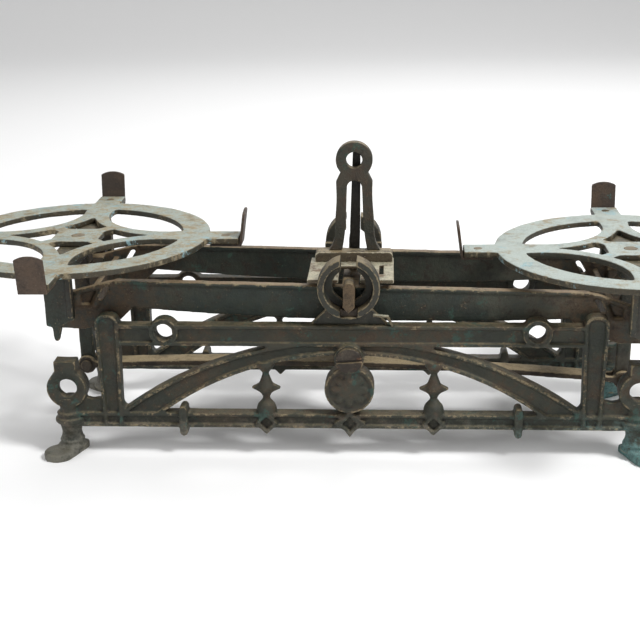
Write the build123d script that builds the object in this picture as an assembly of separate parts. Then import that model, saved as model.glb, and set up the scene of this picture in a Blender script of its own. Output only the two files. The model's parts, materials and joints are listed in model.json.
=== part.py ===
"""Counter scale of the equal-armed open (Roberval) kind, with two spider rings that carry the pans.

X runs along the beam, Y from front (negative) to back, Z up. The origin is on the table, under
the centre of the beam. All lengths are in millimetres. The front half of the base and of the
beam is modelled, and mirrored to the back.
"""
import os
from math import cos, radians, sin, sqrt, tan

from build123d import *

os.makedirs("parts", exist_ok=True)

# Layout of the mechanism
ARM = 230.0                # beam centre to each end knife, and centre to each end of the check lever
CUP_HEIGHT = 146.0         # axis of the centre bearing cups above the table
LEVER_DROP = 78.3          # check lever pivots below the knife edges
REST_TILT = 1.42           # the empty scale leans to its right by this many degrees
KNIFE_GAP = 0.3            # oil film and dirt between a knife edge and its bearing
RUNNING = 0.05             # radial clearance of a pin that turns
JOINT_PLAY = 0.15          # radial clearance at the two loose lower pivots

# Side frames
FRAME_Y = 64.0             # middle of each side frame from the centre plane
FRAME_DEPTH = 12.0
WEB_DEPTH = 6.0
RIM = 3.0
RAIL_BELOW_CUP = 32.5       # top of the rails below the cups' axis
RAIL_HEIGHT = 17.5
SILL_BOTTOM = 24.5
SILL_HEIGHT = 12.7
POST_WIDTH = 15.5
POST_FLARE = 2.0           # each post is this much wider each side at its top
POST_TO_LEG = 14.0         # gap between a post's top and the pan carrier's leg
POST_ABOVE_RAIL = 8.5
ARCH_INTO_POST = 1.5       # the arch springs from inside the post
ARCH_FOOT = 35.0           # width of the arch where it springs
ARCH_INTO_RAIL = 5.2       # the crown runs up into the rail
ARCH_CROWN = 12.5          # thickness of the arch at its crown
RAIL_HOLE_FROM_POST = 38.4
RAIL_HOLE_BELOW_TOP = 6.0
RAIL_HOLE_R = 7.2
RAIL_BOSS_R = 11.7
SPINDLE_X = 68.0
COLLAR_FROM_ARCH = 17.2    # collar on the sill, inside the arch's foot
COLLAR_HEIGHT = 26.0
COLLAR_WIDTH = 6.5
DIAMOND_PROUD = 2.0        # diamonds and medallion stand this far out of the rails' faces
ROSETTE_RELIEF = 1.5       # bead ring and petals on the medallion's face
MEDALLION_R = 20.0
MEDALLION_ABOVE_SILL = 2.8
TIE_BELOW_RAIL = 9.6       # axis of the screws that hold the lever bridge, below the rail
TIE_BOSS_R = 12.0
TIE_SCREW_R = 5.0
TIE_HEAD_R = 10.7
EYE_BEYOND_ARM = 1.5
EYE_Z = 58.0
EYE_R = 16.5
EYE_BORE_R = 7.8
EYE_DEPTH = 14.0
EYE_DISH = 3.0
EYE_BLOCK_TOP = 82.0
EYE_BLOCK_WIDTH = 18.0
COLUMN_R = 8.8
PAD_HEIGHT = 6.5

# Centre bearing cups and what stands on them
CUP_R = 24.6
CUP_RIM = 5.4
CUP_BEFORE_FRAME = 6.0     # the cup's mouth stands this far in front of the rail
CUP_INSIDE_FRAME = 2.0     # and its back is this far inside the rail's back
CUP_WALL = 5.0
CUP_SLOT = 12.5
CUP_WINDOW_R = 13.0
SADDLE_HALF = 31.0
SADDLE_SET_BACK = 4.0      # the saddle's face behind the rail's
EDGE_ABOVE_RIM = 0.5       # knife edge above the lowest point inside the cup
BEARING_WIDTH = 14.0
BEARING_HEIGHT = 7.0
GROOVE_HALF_ANGLE = 70.0
BRIDGE_X = 1.0             # the bracket, pedestal and fork sit a little to the right of the cups
BRIDGE_HALF = 34.3
BRIDGE_THICK = 3.0
BRIDGE_NOTCH_HALF = 8.5
BRIDGE_NOTCH_DEPTH = 38.0
PEDESTAL_X = 2.5
PEDESTAL_HALF = 32.0
PEDESTAL_FRONT_Y = 12.0
PEDESTAL_HEIGHT = 8.5
FORK_X = 3.0
FORK_DEPTH = 8.0
FORK_BACK_Y = 2.5
FORK_RING_R = 15.0
FORK_HOLE_R = 6.6
FORK_RING_ABOVE_CUP = 87.0
FORK_FOOT_HALF = 21.5

# Beam
BAR_TO_FRAME = 3.0         # gap between a bar of the beam and the side frame
BAR_THICK = 5.0
BAR_TOP_BELOW_CUP = 4.0
BAR_HEIGHT = 21.0           # at its ends
BAR_BELLY = 7.5            # the bar is this much deeper in the middle
BAR_FLANGE = 8.0
BAR_SHORT_OF_KNIFE = 41.0  # the bar's top ends here, and the open end begins
BEYOND_KNIFE = 7.0
KNIFE_WIDTH = 9.3
KNIFE_HEIGHT = 14.0
KNIFE_TO_LEG = 0.5         # end of the end knife to the back of the leg
KNIFE_BEFORE_CUP = 3.0
NEEDLE_X = 2.0
NEEDLE_WIDTH = 8.5
NEEDLE_TIP_WIDTH = 6.4
NEEDLE_THICK = 3.0
NEEDLE_GAP = 2.0
NEEDLE_TOP_ABOVE_CUP = 97.0
CROSS_BAR_HALF = 7.0

# Check lever and its bridge
LEVER_WIDTH = 16.0
LEVER_THICK = 5.0
LEVER_BOW = 7.5
KNUCKLE_R = 8.0
LEVER_PIN_R = 4.0
END_PIN_R = 3.0
CLEVIS_WALL = 4.0
CLEVIS_GAP = 1.0

# Pan carriers
LEG_BEFORE_FRAME = 9.0     # middle of a leg to the middle of the side frame
LEG_THICK = 6.0
LEG_WIDTH = 23.0
LEG_BOTTOM_BELOW_CUP = 38.0
TOE_BELOW_CUP = 50.0
YOKE_THICK = 8.0
STEM_WIDTH = 12.0
STEM_THICK = 6.0

# Pan rings
RING_TOP_ABOVE_CUP = 17.6
RING_R = 110.9
RING_INNER_R = 88.0
RING_THICK = 5.0
LENS_CENTRE = 73.1
LENS_R = 61.0
TRIANGLE_CENTRE = 84.9
TRIANGLE_R = 88.5
HUB_HALF = 20.0
LINK_WIDTH = 11.0
ARM_WIDTH = 24.0
LUG_R = 137.0
LUG_WIDTH = 22.0
LUG_THICK = 2.2
LUG_ABOVE = 23.0
LUG_FOOT = 24.0
LUG_LEAN = 8.0
HUB_RIVET_R = 4.0
HUB_HEAD_R = 5.8
HUB_HEAD_THICK = 1.2
LUG_RIVET_R = 2.0
LUG_HEAD_R = 3.8
LUG_HEAD_THICK = 0.9
LUG_RIVET_INSIDE = 12.0    # rivet's axis inside the lug's upright

# Levels that follow from the values above
PIVOT_Z = CUP_HEIGHT - CUP_R + CUP_RIM + EDGE_ABOVE_RIM
LEVER_Z = PIVOT_Z - LEVER_DROP
RAIL_TOP = CUP_HEIGHT - RAIL_BELOW_CUP
RAIL_BOTTOM = RAIL_TOP - RAIL_HEIGHT
SILL_TOP = SILL_BOTTOM + SILL_HEIGHT
FRAME_FRONT = FRAME_Y + FRAME_DEPTH / 2
FRAME_BACK = FRAME_Y - FRAME_DEPTH / 2
POST_INNER = ARM - LEG_WIDTH / 2 - POST_TO_LEG - POST_FLARE - POST_WIDTH
POST_TOP = RAIL_TOP + POST_ABOVE_RAIL
ARCH_OUTER_HALF = POST_INNER + ARCH_INTO_POST
ARCH_OUTER_RISE = RAIL_BOTTOM + ARCH_INTO_RAIL - SILL_TOP
ARCH_INNER_HALF = ARCH_OUTER_HALF - ARCH_FOOT
ARCH_INNER_RISE = ARCH_OUTER_RISE - ARCH_CROWN
RAIL_HOLE_X = POST_INNER - RAIL_HOLE_FROM_POST
COLLAR_X = ARCH_INNER_HALF - COLLAR_FROM_ARCH
MEDALLION_Z = SILL_TOP + MEDALLION_R + MEDALLION_ABOVE_SILL
TIE_Z = RAIL_BOTTOM - TIE_BELOW_RAIL
SCREW_SEAT = FRAME_FRONT + DIAMOND_PROUD + ROSETTE_RELIEF
EYE_X = ARM + EYE_BEYOND_ARM
CUP_FRONT = FRAME_FRONT + CUP_BEFORE_FRAME
CUP_BACK = FRAME_BACK + CUP_INSIDE_FRAME
SADDLE_FRONT = FRAME_FRONT - SADDLE_SET_BACK
BAR_TOP = CUP_HEIGHT - BAR_TOP_BELOW_CUP
BAR_BOTTOM = BAR_TOP - BAR_HEIGHT
BAR_FRONT = FRAME_BACK - BAR_TO_FRAME
BAR_BACK = BAR_FRONT - BAR_THICK
BAR_Y = (BAR_FRONT + BAR_BACK) / 2
BEAM_END = ARM + BEYOND_KNIFE
RING_TOP = CUP_HEIGHT + RING_TOP_ABOVE_CUP
RING_BOTTOM = RING_TOP - RING_THICK
YOKE_BOTTOM = RING_BOTTOM - YOKE_THICK
BRIDGE_TOP = CUP_HEIGHT + BRIDGE_THICK
PEDESTAL_TOP = BRIDGE_TOP + PEDESTAL_HEIGHT
LEG_BACK = FRAME_Y + LEG_BEFORE_FRAME - LEG_THICK / 2
LEG_FRONT = LEG_BACK + LEG_THICK
KNIFE_REACH = LEG_BACK - KNIFE_TO_LEG
KNIFE_FRONT = CUP_FRONT + KNIFE_BEFORE_CUP
NEEDLE_FRONT_Y = FORK_BACK_Y + NEEDLE_GAP
NEEDLE_BACK_Y = NEEDLE_FRONT_Y + NEEDLE_THICK


def slab(sketch, near, far):
    """Solid from a front-view sketch (x, z) between two distances in front of the centre plane."""
    return extrude(Plane.XZ.offset(near) * sketch, far - near)


def plate(sketch, bottom, height):
    """Solid from a plan-view sketch (x, y) standing on a level."""
    return extrude(Plane.XY.offset(bottom) * sketch, height)


def rect(x0, x1, z0, z1):
    """Rectangle between two corners."""
    return Pos((x0 + x1) / 2, (z0 + z1) / 2) * Rectangle(x1 - x0, z1 - z0)


def poly(*points):
    """Straight-sided face through its corners."""
    return make_face(Polyline(*points, close=True))


def rod_y(radius, near, far, x, z):
    """Round bar along Y between two distances in front of the centre plane."""
    return slab(Pos(x, z) * Circle(radius), near, far)


def turned(x, y, *profile):
    """Solid of revolution about a vertical axis, from (radius, height) points, bottom to top."""
    points = [(0, profile[0][1]), *profile, (0, profile[-1][1])]
    face = make_face(Plane.XZ * Polyline(*points, close=True))
    return Pos(x, y, 0) * revolve(face, Axis.Z)


def both_sides(shape):
    """A shape and its mirror image on the other side of the centre of the beam."""
    return shape + mirror(shape, about=Plane.YZ)


def to_back(shape):
    """The rear copy of a front piece."""
    return mirror(shape, about=Plane.XZ)


def chord_circle(half, rise, base, inset=0.0):
    """Full circle whose cap has the given half width and rise above a base level."""
    radius = (half * half + rise * rise) / (2 * rise)
    return Pos(0, base + rise - radius) * Circle(radius + inset)


# ---------------------------------------------------------------- side frames

def post_outline(inset=0.0):
    """One end post in front view, wider and round-shouldered at the top."""
    outer = POST_INNER + POST_WIDTH
    face = poly(
        (POST_INNER + inset, SILL_BOTTOM + inset),
        (outer - inset, SILL_BOTTOM + inset),
        (outer + POST_FLARE - inset, POST_TOP - inset),
        (POST_INNER - POST_FLARE + inset, POST_TOP - inset),
    )
    top_corners = face.vertices().group_by(Axis.Y)[-1]
    return fillet(top_corners, POST_WIDTH / 2 - inset)


def arch_band(outer_inset, inner_inset):
    """Arch between its outer and inner curves, under the rail and above the sill."""
    outer = chord_circle(ARCH_OUTER_HALF, ARCH_OUTER_RISE, SILL_TOP, -outer_inset)
    inner = chord_circle(ARCH_INNER_HALF, ARCH_INNER_RISE, SILL_TOP, inner_inset)
    span = rect(-POST_INNER - 1, POST_INNER + 1, SILL_TOP - 1, RAIL_BOTTOM + 1)
    return (outer - inner) & span


def diamond(x, z, half_width, half_height):
    """Straight-sided diamond about a centre."""
    return poly((x - half_width, z), (x, z + half_height), (x + half_width, z), (x, z - half_height))


def astroid(half_width, half_height, pull=0.42):
    """Diamond with hollow sides; a pull of one half would make them straight."""
    corners = [(half_width, 0), (0, half_height), (-half_width, 0), (0, -half_height)]
    sides = []
    for start, end in zip(corners, corners[1:] + corners[:1]):
        middle = ((start[0] + end[0]) * pull, (start[1] + end[1]) * pull)
        sides.append(ThreePointArc(start, middle, end))
    return make_face(Wire(sides))


def frame_core():
    """Flat web of the frame, set back from the rims on both faces."""
    outer = POST_INNER + POST_WIDTH
    rail = rect(-POST_INNER, POST_INNER, RAIL_BOTTOM, RAIL_TOP)
    sill = rect(-EYE_X, EYE_X, SILL_BOTTOM, SILL_TOP)
    post = post_outline()
    cheek = poly(
        (outer - 1, SILL_TOP - 1),
        (EYE_X, SILL_TOP - 1),
        (EYE_X, EYE_Z - 6),
        (outer + 8, EYE_Z - 10),
        (outer - 1, EYE_Z - 8),
    )
    return rail + sill + arch_band(0, 0) + both_sides(post) + both_sides(cheek)


def frame_rims():
    """Raised edges along the rails, arch and posts."""
    rail = rect(-POST_INNER, POST_INNER, RAIL_BOTTOM, RAIL_TOP)
    rail_field = rect(-POST_INNER, POST_INNER, RAIL_BOTTOM + RIM, RAIL_TOP - RIM)
    sill = rect(-EYE_X, EYE_X, SILL_BOTTOM, SILL_TOP)
    sill_field = rect(-EYE_X, EYE_X, SILL_BOTTOM + RIM, SILL_TOP - RIM)
    post = post_outline() - post_outline(RIM)
    arch = arch_band(0, 0) - arch_band(RIM, RIM)
    return (rail - rail_field) + (sill - sill_field) + arch + both_sides(post)


def arch_height(x):
    """Level of the arch's inner curve at a distance from the middle."""
    radius = (ARCH_INNER_HALF ** 2 + ARCH_INNER_RISE ** 2) / (2 * ARCH_INNER_RISE)
    return SILL_TOP + ARCH_INNER_RISE - radius + sqrt(radius ** 2 - x ** 2)


def spindle():
    """Turned baluster: bell, double cone with two side points, and a flare under the arch."""
    top = arch_height(SPINDLE_X) + 2.5
    baluster = turned(
        SPINDLE_X, -FRAME_Y,
        (8.0, SILL_TOP - 1), (8.4, SILL_TOP + 3), (7.4, SILL_TOP + 6.5), (3.4, SILL_TOP + 11.5),
        (2.8, SILL_TOP + 13.5), (6.6, SILL_TOP + 20.5), (6.6, SILL_TOP + 22.5), (2.8, top - 11.5),
        (2.8, top - 10), (7.6, top - 4), (7.6, top),
    )
    spikes = diamond(SPINDLE_X, SILL_TOP + 21.5, 12.5, 6.2)
    return baluster + slab(spikes, FRAME_Y - 2.6, FRAME_Y + 2.6)


def medallion():
    """Round boss over the middle of the sill, with a bead ring and a plain rosette."""
    face = FRAME_FRONT + DIAMOND_PROUD
    disc = rod_y(MEDALLION_R, FRAME_BACK, face, 0, MEDALLION_Z)
    bead = Circle(MEDALLION_R) - Circle(MEDALLION_R - 2.6)
    petal = Pos(0, 9.2) * Ellipse(2.9, 5.4)
    flower = Circle(3.4)
    for turn in range(8):
        flower += Rot(0, 0, 45 * turn) * petal
    return disc + slab(Pos(0, MEDALLION_Z) * (bead + flower), face, SCREW_SEAT)


def eye():
    """Round end eye with a dished face, the block above it and the foot below."""
    ring = rod_y(EYE_R, FRAME_Y - EYE_DEPTH / 2, FRAME_Y + EYE_DEPTH / 2, EYE_X, EYE_Z)
    block = slab(
        rect(EYE_X - EYE_BLOCK_WIDTH / 2, EYE_X + EYE_BLOCK_WIDTH / 2, EYE_Z, EYE_BLOCK_TOP),
        FRAME_Y - EYE_DEPTH / 2, FRAME_Y + EYE_DEPTH / 2,
    )
    column = turned(
        EYE_X, -FRAME_Y,
        (COLUMN_R + 3.0, PAD_HEIGHT - 1), (COLUMN_R + 3.0, PAD_HEIGHT + 1),
        (COLUMN_R + 0.4, PAD_HEIGHT + 3), (COLUMN_R + 1.6, PAD_HEIGHT + 5), (COLUMN_R, PAD_HEIGHT + 8),
        (COLUMN_R - 0.8, PAD_HEIGHT + 12), (COLUMN_R + 0.4, SILL_BOTTOM + 1.5),
        (COLUMN_R + 3.6, SILL_BOTTOM + 4), (COLUMN_R + 3.6, SILL_BOTTOM + 7),
        (COLUMN_R + 0.6, SILL_BOTTOM + 9), (COLUMN_R + 2.2, SILL_BOTTOM + 11.5),
        (COLUMN_R - 0.6, SILL_BOTTOM + 14), (COLUMN_R - 0.6, EYE_Z - EYE_R / 2),
    )
    return ring + block + column


def eye_bore():
    """Through hole of the end eye, dished on both faces."""
    bore = rod_y(EYE_BORE_R, FRAME_Y - EYE_DEPTH, FRAME_Y + EYE_DEPTH, EYE_X, EYE_Z)
    mouth = EYE_R - 2.2
    cone = Cone(EYE_BORE_R, mouth, EYE_DISH)
    front = Pos(EYE_X, -FRAME_Y - EYE_DEPTH / 2 + EYE_DISH / 2, EYE_Z) * Rot(90, 0, 0) * cone
    back = Pos(EYE_X, -FRAME_Y + EYE_DEPTH / 2 - EYE_DISH / 2, EYE_Z) * Rot(-90, 0, 0) * cone
    return bore + front + back


def pad():
    """Slipper-shaped foot that points outwards and forwards."""
    toe = Pos(EYE_X + 9.0, -FRAME_Y - 12.5) * Circle(12.0)
    heel = Pos(EYE_X - 7.5, -FRAME_Y + 8.0) * Circle(4.0)
    sole = make_hull((toe + heel).edges())
    foot = plate(sole, 0, PAD_HEIGHT)
    top_edges = foot.edges().group_by(Axis.Z)[-1]
    return fillet(top_edges, 2.0)


def side_frame():
    """Front side frame: rail, sill, posts, arch, balusters, medallion, end eyes and feet in one casting."""
    boss_z = RAIL_TOP - RAIL_HOLE_BELOW_TOP
    boss = rod_y(RAIL_BOSS_R, FRAME_BACK, FRAME_FRONT + 0.8, RAIL_HOLE_X, boss_z)
    boss_field = slab(
        Pos(RAIL_HOLE_X, boss_z) * (Circle(RAIL_BOSS_R - 1.8) - Circle(RAIL_HOLE_R + 0.8)),
        FRAME_FRONT - 0.8, FRAME_FRONT + 1,
    )
    boss_hole = rod_y(RAIL_HOLE_R, FRAME_BACK - 1, FRAME_FRONT + 2, RAIL_HOLE_X, boss_z)
    proud = FRAME_FRONT + DIAMOND_PROUD
    side_z = SILL_BOTTOM + 5.0
    side_diamond = slab(diamond(SPINDLE_X, side_z, 9.4, 10.0), FRAME_BACK, proud)
    side_recess = slab(diamond(SPINDLE_X, side_z, 5.4, 6.0), FRAME_FRONT - 2, proud + 1)
    middle_z = SILL_BOTTOM + 5.5
    middle_diamond = slab(Pos(0, middle_z) * astroid(13.5, 12.5), FRAME_BACK, proud)
    middle_recess = slab(diamond(0, middle_z - 0.5, 6.0, 6.6), FRAME_FRONT - 2, proud + 1)
    collar_centre = Pos(COLLAR_X, SILL_BOTTOM + SILL_HEIGHT / 2) * Rot(0, 0, 90)
    collar = slab(collar_centre * SlotOverall(COLLAR_HEIGHT, COLLAR_WIDTH), FRAME_BACK, FRAME_FRONT + 2)
    corner_nub = slab(
        poly((POST_INNER + 1, SILL_TOP - 1), (POST_INNER + 1, SILL_TOP + 9), (POST_INNER - 7, SILL_TOP - 1)),
        FRAME_BACK + 1, FRAME_FRONT - 1,
    )
    tie_boss = rod_y(TIE_BOSS_R, FRAME_BACK, SCREW_SEAT, 0, TIE_Z)
    tie_hole = rod_y(TIE_SCREW_R + 0.2, FRAME_BACK - 1, SCREW_SEAT + 1, 0, TIE_Z)
    core = slab(frame_core(), FRAME_Y - WEB_DEPTH / 2, FRAME_Y + WEB_DEPTH / 2)
    rims = slab(frame_rims(), FRAME_BACK, FRAME_FRONT)
    body = core + rims + tie_boss + medallion()
    body += middle_diamond
    for shape in (boss, side_diamond, collar, corner_nub, spindle(), eye(), pad()):
        body += both_sides(shape)
    for hole in (boss_field, boss_hole, side_recess, eye_bore()):
        body -= both_sides(hole)
    return body - tie_hole - middle_recess


# ---------------------------------------------------------------- centre bearings

def bearing_cup():
    """Front bearing cup: deep round rim, open at the top, on a saddle that seats on the rail."""
    centre = Pos(0, CUP_HEIGHT)
    half = CUP_SLOT / 2
    slot = rect(-half, half, CUP_HEIGHT, CUP_HEIGHT + CUP_R + 2)
    rim = slab(centre * Circle(CUP_R), CUP_BACK, CUP_FRONT)
    bowl = slab(centre * Circle(CUP_R - CUP_RIM), CUP_BACK + CUP_WALL, CUP_FRONT + 1)
    window = slab(centre * Circle(CUP_WINDOW_R) + slot, CUP_BACK - 1, CUP_BACK + CUP_WALL + 1)
    mouth = slab(slot, CUP_BACK - 1, CUP_FRONT + 1)
    saddle_top = CUP_HEIGHT - CUP_R * 0.8
    saddle = slab(
        poly((-SADDLE_HALF, RAIL_TOP), (SADDLE_HALF, RAIL_TOP), (SADDLE_HALF - 13, saddle_top),
             (13 - SADDLE_HALF, saddle_top)),
        CUP_BACK, SADDLE_FRONT,
    )
    saddle -= slab(centre * Circle(CUP_R - 1), CUP_BACK - 1, CUP_FRONT)
    ear = slab(rect(14, 25, CUP_HEIGHT - 6, CUP_HEIGHT), FRAME_BACK - 0.5, CUP_BACK + 1)
    seat = slab(
        rect(-BEARING_WIDTH / 2, BEARING_WIDTH / 2, bearing_bottom(), CUP_HEIGHT - CUP_R / 2),
        CUP_BACK + CUP_WALL, CUP_FRONT + 1,
    )
    return rim + saddle + both_sides(ear) - bowl - window - mouth - seat


def bearing_bottom():
    """Underside of the centre bearing block."""
    return PIVOT_Z - KNIFE_GAP - BEARING_HEIGHT / 2 - 1


def centre_bearing():
    """Hard steel block with a shallow V, in the bottom of the front cup."""
    half = BEARING_WIDTH / 2
    apex = PIVOT_Z - KNIFE_GAP
    lip = apex + half / tan(radians(GROOVE_HALF_ANGLE))
    section = poly((-half, bearing_bottom()), (half, bearing_bottom()), (half, lip), (0, apex), (-half, lip))
    return slab(section, CUP_BACK + CUP_WALL, CUP_FRONT - 3)


def bridge_plate():
    """Bracket plate from the front cup to the middle, notched so that the centre knife lifts out."""
    back = FORK_BACK_Y
    middle = (back - CUP_BACK) / 2
    outline = Pos(BRIDGE_X, middle) * Rectangle(2 * BRIDGE_HALF, CUP_BACK + back)
    notch = Pos(0, -CUP_BACK) * Rectangle(2 * BRIDGE_NOTCH_HALF, 2 * BRIDGE_NOTCH_DEPTH)
    clamp_slot = Pos(BRIDGE_X + BRIDGE_HALF - 10, -32) * Rectangle(3.5, 24)
    return plate(outline - notch - clamp_slot, CUP_HEIGHT, BRIDGE_THICK) - fork_screw_holes()


def fork_screw_places():
    """Places of the two screws that hold the fork's feet."""
    middle = FORK_BACK_Y - FORK_DEPTH / 2
    return [Pos(FORK_X + side * (FORK_FOOT_HALF - 6.0), middle) for side in (-1, 1)]


def fork_screw_holes():
    """Clearance holes for the fork screws, full height."""
    left_place, right_place = fork_screw_places()
    outline = left_place * Circle(2.1) + right_place * Circle(2.1)
    return plate(outline, CUP_HEIGHT - 1, PEDESTAL_TOP - CUP_HEIGHT + 2)


def fork_screws():
    """Two screws from under the bracket plate up into the fork's feet."""
    screws = []
    for place in fork_screw_places():
        head = plate(place * Circle(3.6), CUP_HEIGHT - 2.4, 2.4)
        shank = plate(place * Circle(1.9), CUP_HEIGHT - 1, PEDESTAL_TOP - CUP_HEIGHT + 7)
        screws.append(head + shank)
    return Compound(screws)


def pedestal():
    """Block on the bracket plate that carries the index fork."""
    depth = PEDESTAL_FRONT_Y + FORK_BACK_Y
    middle = (FORK_BACK_Y - PEDESTAL_FRONT_Y) / 2
    block = plate(Pos(PEDESTAL_X, middle) * Rectangle(2 * PEDESTAL_HALF, depth), BRIDGE_TOP, PEDESTAL_HEIGHT)
    block = fillet(block.edges().filter_by(Axis.Y).group_by(Axis.Z)[-1], 3.0)
    return block - fork_screw_holes()


def index_fork():
    """Two-legged index pillar with a round eye at the top, through which the needle is read."""
    foot = PEDESTAL_TOP
    ring_z = CUP_HEIGHT + FORK_RING_ABOVE_CUP
    shoulder = ring_z - FORK_RING_R
    leg_height = shoulder - foot
    side = Spline(
        (FORK_FOOT_HALF, foot), (FORK_FOOT_HALF - 4, foot + 7), (16.0, foot + 0.37 * leg_height),
        (14.8, foot + 0.68 * leg_height), (15.0, shoulder - 3),
    )
    outline = make_face(Wire([
        side,
        Line((15.0, shoulder - 3), (11.5, shoulder + 4)),
        Line((11.5, shoulder + 4), (0, shoulder + 4)),
        Line((0, shoulder + 4), (0, foot)),
        Line((0, foot), (FORK_FOOT_HALF, foot)),
    ]))
    inner = Spline(
        (10.6, foot - 1), (7.4, foot + 0.37 * leg_height), (6.6, foot + 0.68 * leg_height),
        (6.2, shoulder - 8),
    )
    window = make_face(Wire([
        inner,
        ThreePointArc((6.2, shoulder - 8), (4.4, shoulder - 3.6), (0, shoulder - 1.8)),
        Line((0, shoulder - 1.8), (0, foot - 1)),
        Line((0, foot - 1), (10.6, foot - 1)),
    ]))
    half = outline - window
    face = half + mirror(half, about=Plane.YZ)
    face += Pos(0, ring_z) * Circle(FORK_RING_R)
    face -= Pos(0, ring_z) * Circle(FORK_HOLE_R)
    fork = Pos(FORK_X, 0, 0) * slab(face, -FORK_BACK_Y, FORK_DEPTH - FORK_BACK_Y)
    for place in fork_screw_places():
        fork -= plate(place * Circle(1.9), PEDESTAL_TOP - 1, 7)
    return fork


def bearing_clip():
    """Small bent strip beside the front cup's saddle, with one end on the rail."""
    high = RAIL_TOP + 8.0
    face = poly((19, high), (29.8, high - 1.0), (33.4, RAIL_TOP), (35.2, RAIL_TOP), (31.2, high + 0.6),
                (19, high + 1.7))
    return slab(face, SADDLE_FRONT, SADDLE_FRONT + 4)


# ---------------------------------------------------------------- check lever and its bridge

def lever_bridge():
    """Cross bar between the side frames with a hanging clevis for the check lever."""
    bar = slab(Pos(0, TIE_Z) * Rectangle(18, 16), -FRAME_BACK, FRAME_BACK)
    inner = LEVER_WIDTH / 2 + CLEVIS_GAP
    cheek_face = rect(-9, 9, LEVER_Z, TIE_Z) + Pos(0, LEVER_Z) * Circle(9)
    cheek = slab(cheek_face, inner, inner + CLEVIS_WALL)
    pin_hole = rod_y(LEVER_PIN_R, -2 * inner, 2 * inner, 0, LEVER_Z)
    screw_hole = rod_y(TIE_SCREW_R, FRAME_BACK - 20, FRAME_BACK + 1, 0, TIE_Z)
    return bar + cheek + to_back(cheek) - pin_hole - screw_hole - to_back(screw_hole)


def tie_screw():
    """Large slotted screw through the front frame into the lever bridge."""
    shank = rod_y(TIE_SCREW_R, FRAME_BACK - 18, SCREW_SEAT, 0, TIE_Z)
    head = rod_y(TIE_HEAD_R, SCREW_SEAT, SCREW_SEAT + 4, 0, TIE_Z)
    head = fillet(head.edges().group_by(Axis.Y)[0], 1.2)
    slot_face = Pos(0, TIE_Z) * Rot(0, 0, 4) * Rectangle(2 * TIE_HEAD_R + 2, 2.4)
    slot = slab(slot_face, SCREW_SEAT + 2.2, SCREW_SEAT + 5)
    return shank + head - slot


def lever_pin():
    """Pivot pin of the check lever, held in the clevis."""
    reach = LEVER_WIDTH / 2 + CLEVIS_GAP + CLEVIS_WALL
    pin = rod_y(LEVER_PIN_R, -reach, reach, 0, LEVER_Z)
    head = rod_y(LEVER_PIN_R + 2, reach, reach + 2, 0, LEVER_Z)
    return pin + head


def check_lever():
    """Bowed flat lever with a knuckle at its middle and a slotted knuckle at each end."""
    half = LEVER_THICK / 2
    end_x = ARM - 4
    crown = LEVER_Z + LEVER_BOW
    strip = make_face(Wire([
        ThreePointArc((-end_x, LEVER_Z + half), (0, crown + half), (end_x, LEVER_Z + half)),
        Line((end_x, LEVER_Z + half), (end_x, LEVER_Z - half)),
        ThreePointArc((end_x, LEVER_Z - half), (0, crown - half), (-end_x, LEVER_Z - half)),
        Line((-end_x, LEVER_Z - half), (-end_x, LEVER_Z + half)),
    ]))
    side = LEVER_WIDTH / 2
    lever = slab(strip, -side, side)
    lever += rod_y(KNUCKLE_R, -side, side, 0, LEVER_Z)
    lever += both_sides(rod_y(KNUCKLE_R, -side, side, ARM, LEVER_Z))
    lever -= rod_y(LEVER_PIN_R + RUNNING, -side - 1, side + 1, 0, LEVER_Z)
    lever -= both_sides(rod_y(END_PIN_R, -side - 1, side + 1, ARM, LEVER_Z))
    gap = STEM_THICK / 2 + 0.5
    slot = slab(rect(ARM - 13, ARM + 10, LEVER_Z - 12, LEVER_Z + 12), -gap, gap)
    return lever - both_sides(slot)


def end_pin():
    """Pin through the lever's right-hand knuckle and the stem."""
    side = LEVER_WIDTH / 2
    pin = rod_y(END_PIN_R, -side, side, ARM, LEVER_Z)
    return pin + rod_y(END_PIN_R + 1.6, side, side + 1.6, ARM, LEVER_Z)


# ---------------------------------------------------------------- beam

def knife_section(x, edge_z, height, up):
    """Square bar with one side ground to an edge, pointing up or down."""
    half = KNIFE_WIDTH / 2
    sign = 1 if up else -1
    return poly(
        (x, edge_z),
        (x + half, edge_z - sign * half),
        (x + half, edge_z - sign * height),
        (x - half, edge_z - sign * height),
        (x - half, edge_z - sign * half),
    )


def centre_knife():
    """Front centre knife: round-topped steel slab, edge down, with a tail that is cast into the bar."""
    top = CUP_HEIGHT + 6 - KNIFE_WIDTH / 2
    face = knife_section(0, PIVOT_Z, top - PIVOT_Z, up=False) + Pos(0, top) * Circle(KNIFE_WIDTH / 2)
    blade = slab(face, CUP_BACK + CUP_WALL + 0.3, KNIFE_FRONT)
    return blade + slab(knife_tail(), BAR_BACK - 3, CUP_BACK + CUP_WALL + 1)


def knife_tail():
    """Section of the centre knife's tail."""
    half = KNIFE_WIDTH / 2
    return rect(-half, half, CUP_HEIGHT - 11, CUP_HEIGHT - 5)


def end_knife():
    """Front knife of the right-hand end, edge up."""
    return slab(knife_section(ARM, PIVOT_Z, KNIFE_HEIGHT, up=True), BAR_BACK - 5, KNIFE_REACH)


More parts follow.
